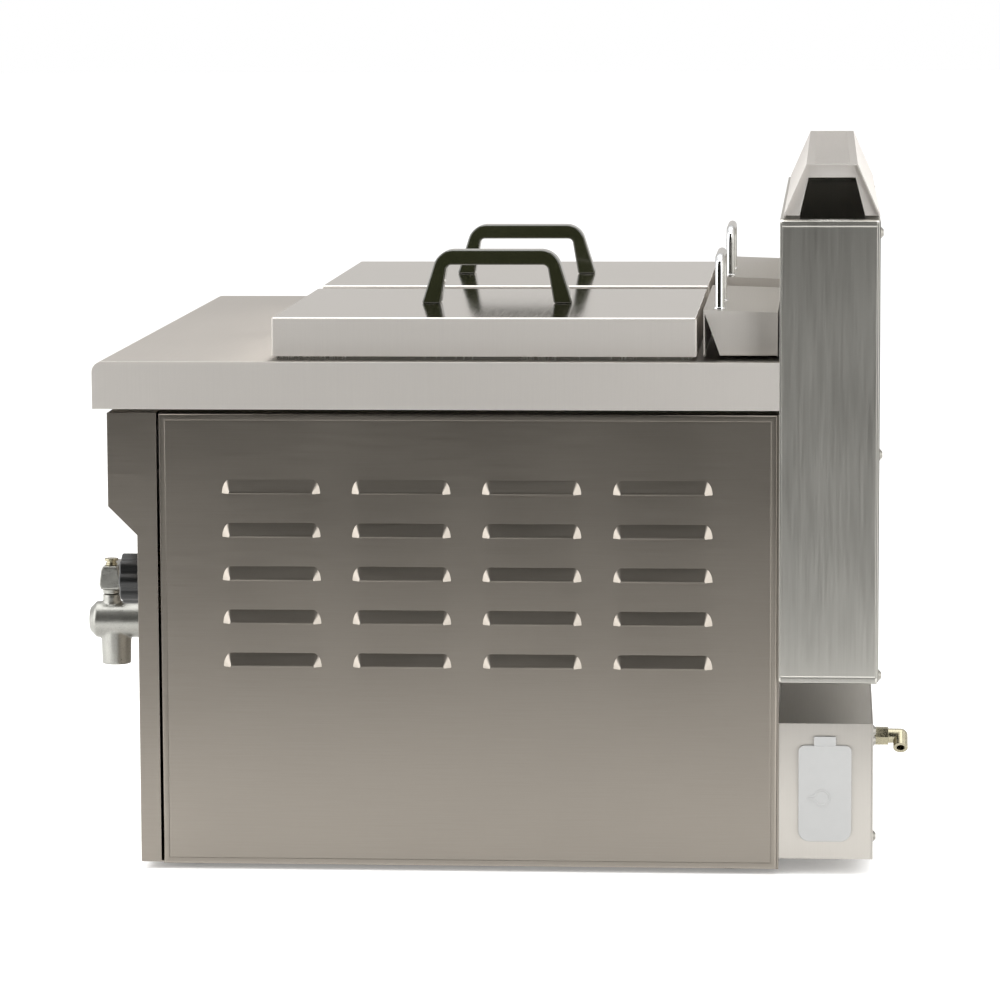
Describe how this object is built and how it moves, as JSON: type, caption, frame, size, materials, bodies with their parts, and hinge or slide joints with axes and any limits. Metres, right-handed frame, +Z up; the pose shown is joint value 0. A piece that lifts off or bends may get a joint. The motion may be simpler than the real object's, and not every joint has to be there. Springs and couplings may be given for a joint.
{
  "type": "countertop gas fryer",
  "caption": "Stainless countertop gas fryer with lidded tanks, rear flue, louvred side panels, front knobs and drain taps with lever handles.",
  "frame": {"origin": "middle of the whole part's footprint, at the soles of its feet", "axes": "+X to the fryer's right as a user facing it sees it, its front faces -Y, +Z up"},
  "size_m": [0.804, 0.764, 0.6334],
  "materials": {
    "sheet_steel": "brushed",
    "chrome_rod": "polished",
    "black_grip": "gloss",
    "black_knob": "satin",
    "cast_plated": "satin",
    "brass": "satin",
    "tube_steel": "satin",
    "cast_iron": "rough",
    "foot_rubber": "matte",
    "white_plastic": "satin",
    "igniter_case": "matte",
    "cell_case": "gloss"
  },
  "bodies": {
    "cabinet": {"back_panel": "sheet_steel", "battery_cell": "cell_case", "battery_holder": "white_plastic", "bottom_tray": "sheet_steel", "burner_feed_left": "tube_steel", "burner_feed_right": "tube_steel", "burner_left": "cast_iron", "burner_right": "cast_iron", "deck": "sheet_steel", "drain_pipe_left": "tube_steel", "drain_pipe_right": "tube_steel", "drain_tap_left": "cast_plated", "drain_tap_right": "cast_plated", "feet": "foot_rubber", "flue_back_panel": "sheet_steel", "flue_cap": "sheet_steel", "flue_duct": "sheet_steel", "front_housing": "sheet_steel", "gas_inlet": "brass", "gas_manifold": "tube_steel", "gas_valve_left": "brass", "gas_valve_right": "brass", "heat_shield_left": "sheet_steel", "heat_shield_right": "sheet_steel", "igniter_module": "igniter_case", "ignition_box": "sheet_steel", "ignition_box_cover": "sheet_steel", "pilot_left": "tube_steel", "pilot_right": "tube_steel", "rear_screws": "chrome_rod", "side_panel_left": "sheet_steel", "side_panel_right": "sheet_steel", "supply_pipe": "tube_steel", "tank_left": "sheet_steel", "tank_right": "sheet_steel", "thermostat_bulb_left": "tube_steel", "thermostat_bulb_right": "tube_steel"},
    "lid_right": {"lid_right": "sheet_steel", "lid_grip_right": "black_grip"},
    "shelf_right": {"rear_shelf_right": "sheet_steel", "lifting_loop_right": "chrome_rod"},
    "knob_right": {"knob_right": "black_knob", "valve_stem_right": "tube_steel"},
    "tap_lever_right": {"tap_lever_right": "cast_plated", "lever_screw_right": "brass"},
    "lid_left": {"lid_left": "sheet_steel", "lid_grip_left": "black_grip"},
    "shelf_left": {"rear_shelf_left": "sheet_steel", "lifting_loop_left": "chrome_rod"},
    "knob_left": {"knob_left": "black_knob", "valve_stem_left": "tube_steel"},
    "tap_lever_left": {"tap_lever_left": "cast_plated", "lever_screw_left": "brass"},
    "battery_cover": {"battery_cover": "white_plastic"}
  },
  "joints": [
    {"name": "lid_right_lift", "type": "slide", "parent": "cabinet", "child": "lid_right", "axis": [0, 0, 1], "range_m": [0, 0.25]},
    {"name": "shelf_right_lift", "type": "slide", "parent": "cabinet", "child": "shelf_right", "axis": [0, 0, 1], "range_m": [0, 0.2]},
    {"name": "knob_right_turn", "type": "hinge", "parent": "cabinet", "child": "knob_right", "pos_m": [0.33, -0.3312, 0.2548], "axis": [0, -1, 0], "range_deg": [0, 270]},
    {"name": "tap_right_turn", "type": "hinge", "parent": "cabinet", "child": "tap_lever_right", "pos_m": [0.2013, -0.3618, 0.2225], "axis": [0, 0, 1], "range_deg": [0, 90]},
    {"name": "lid_left_lift", "type": "slide", "parent": "cabinet", "child": "lid_left", "axis": [0, 0, 1], "range_m": [0, 0.25]},
    {"name": "shelf_left_lift", "type": "slide", "parent": "cabinet", "child": "shelf_left", "axis": [0, 0, 1], "range_m": [0, 0.2]},
    {"name": "knob_left_turn", "type": "hinge", "parent": "cabinet", "child": "knob_left", "pos_m": [-0.0726, -0.3312, 0.2548], "axis": [0, -1, 0], "range_deg": [0, 270]},
    {"name": "tap_left_turn", "type": "hinge", "parent": "cabinet", "child": "tap_lever_left", "pos_m": [-0.2013, -0.3618, 0.2225], "axis": [0, 0, 1], "range_deg": [0, 90]},
    {"name": "battery_cover_pull", "type": "slide", "parent": "cabinet", "child": "battery_cover", "axis": [1, 0, 0], "range_m": [0, 0.06]}
  ]
}
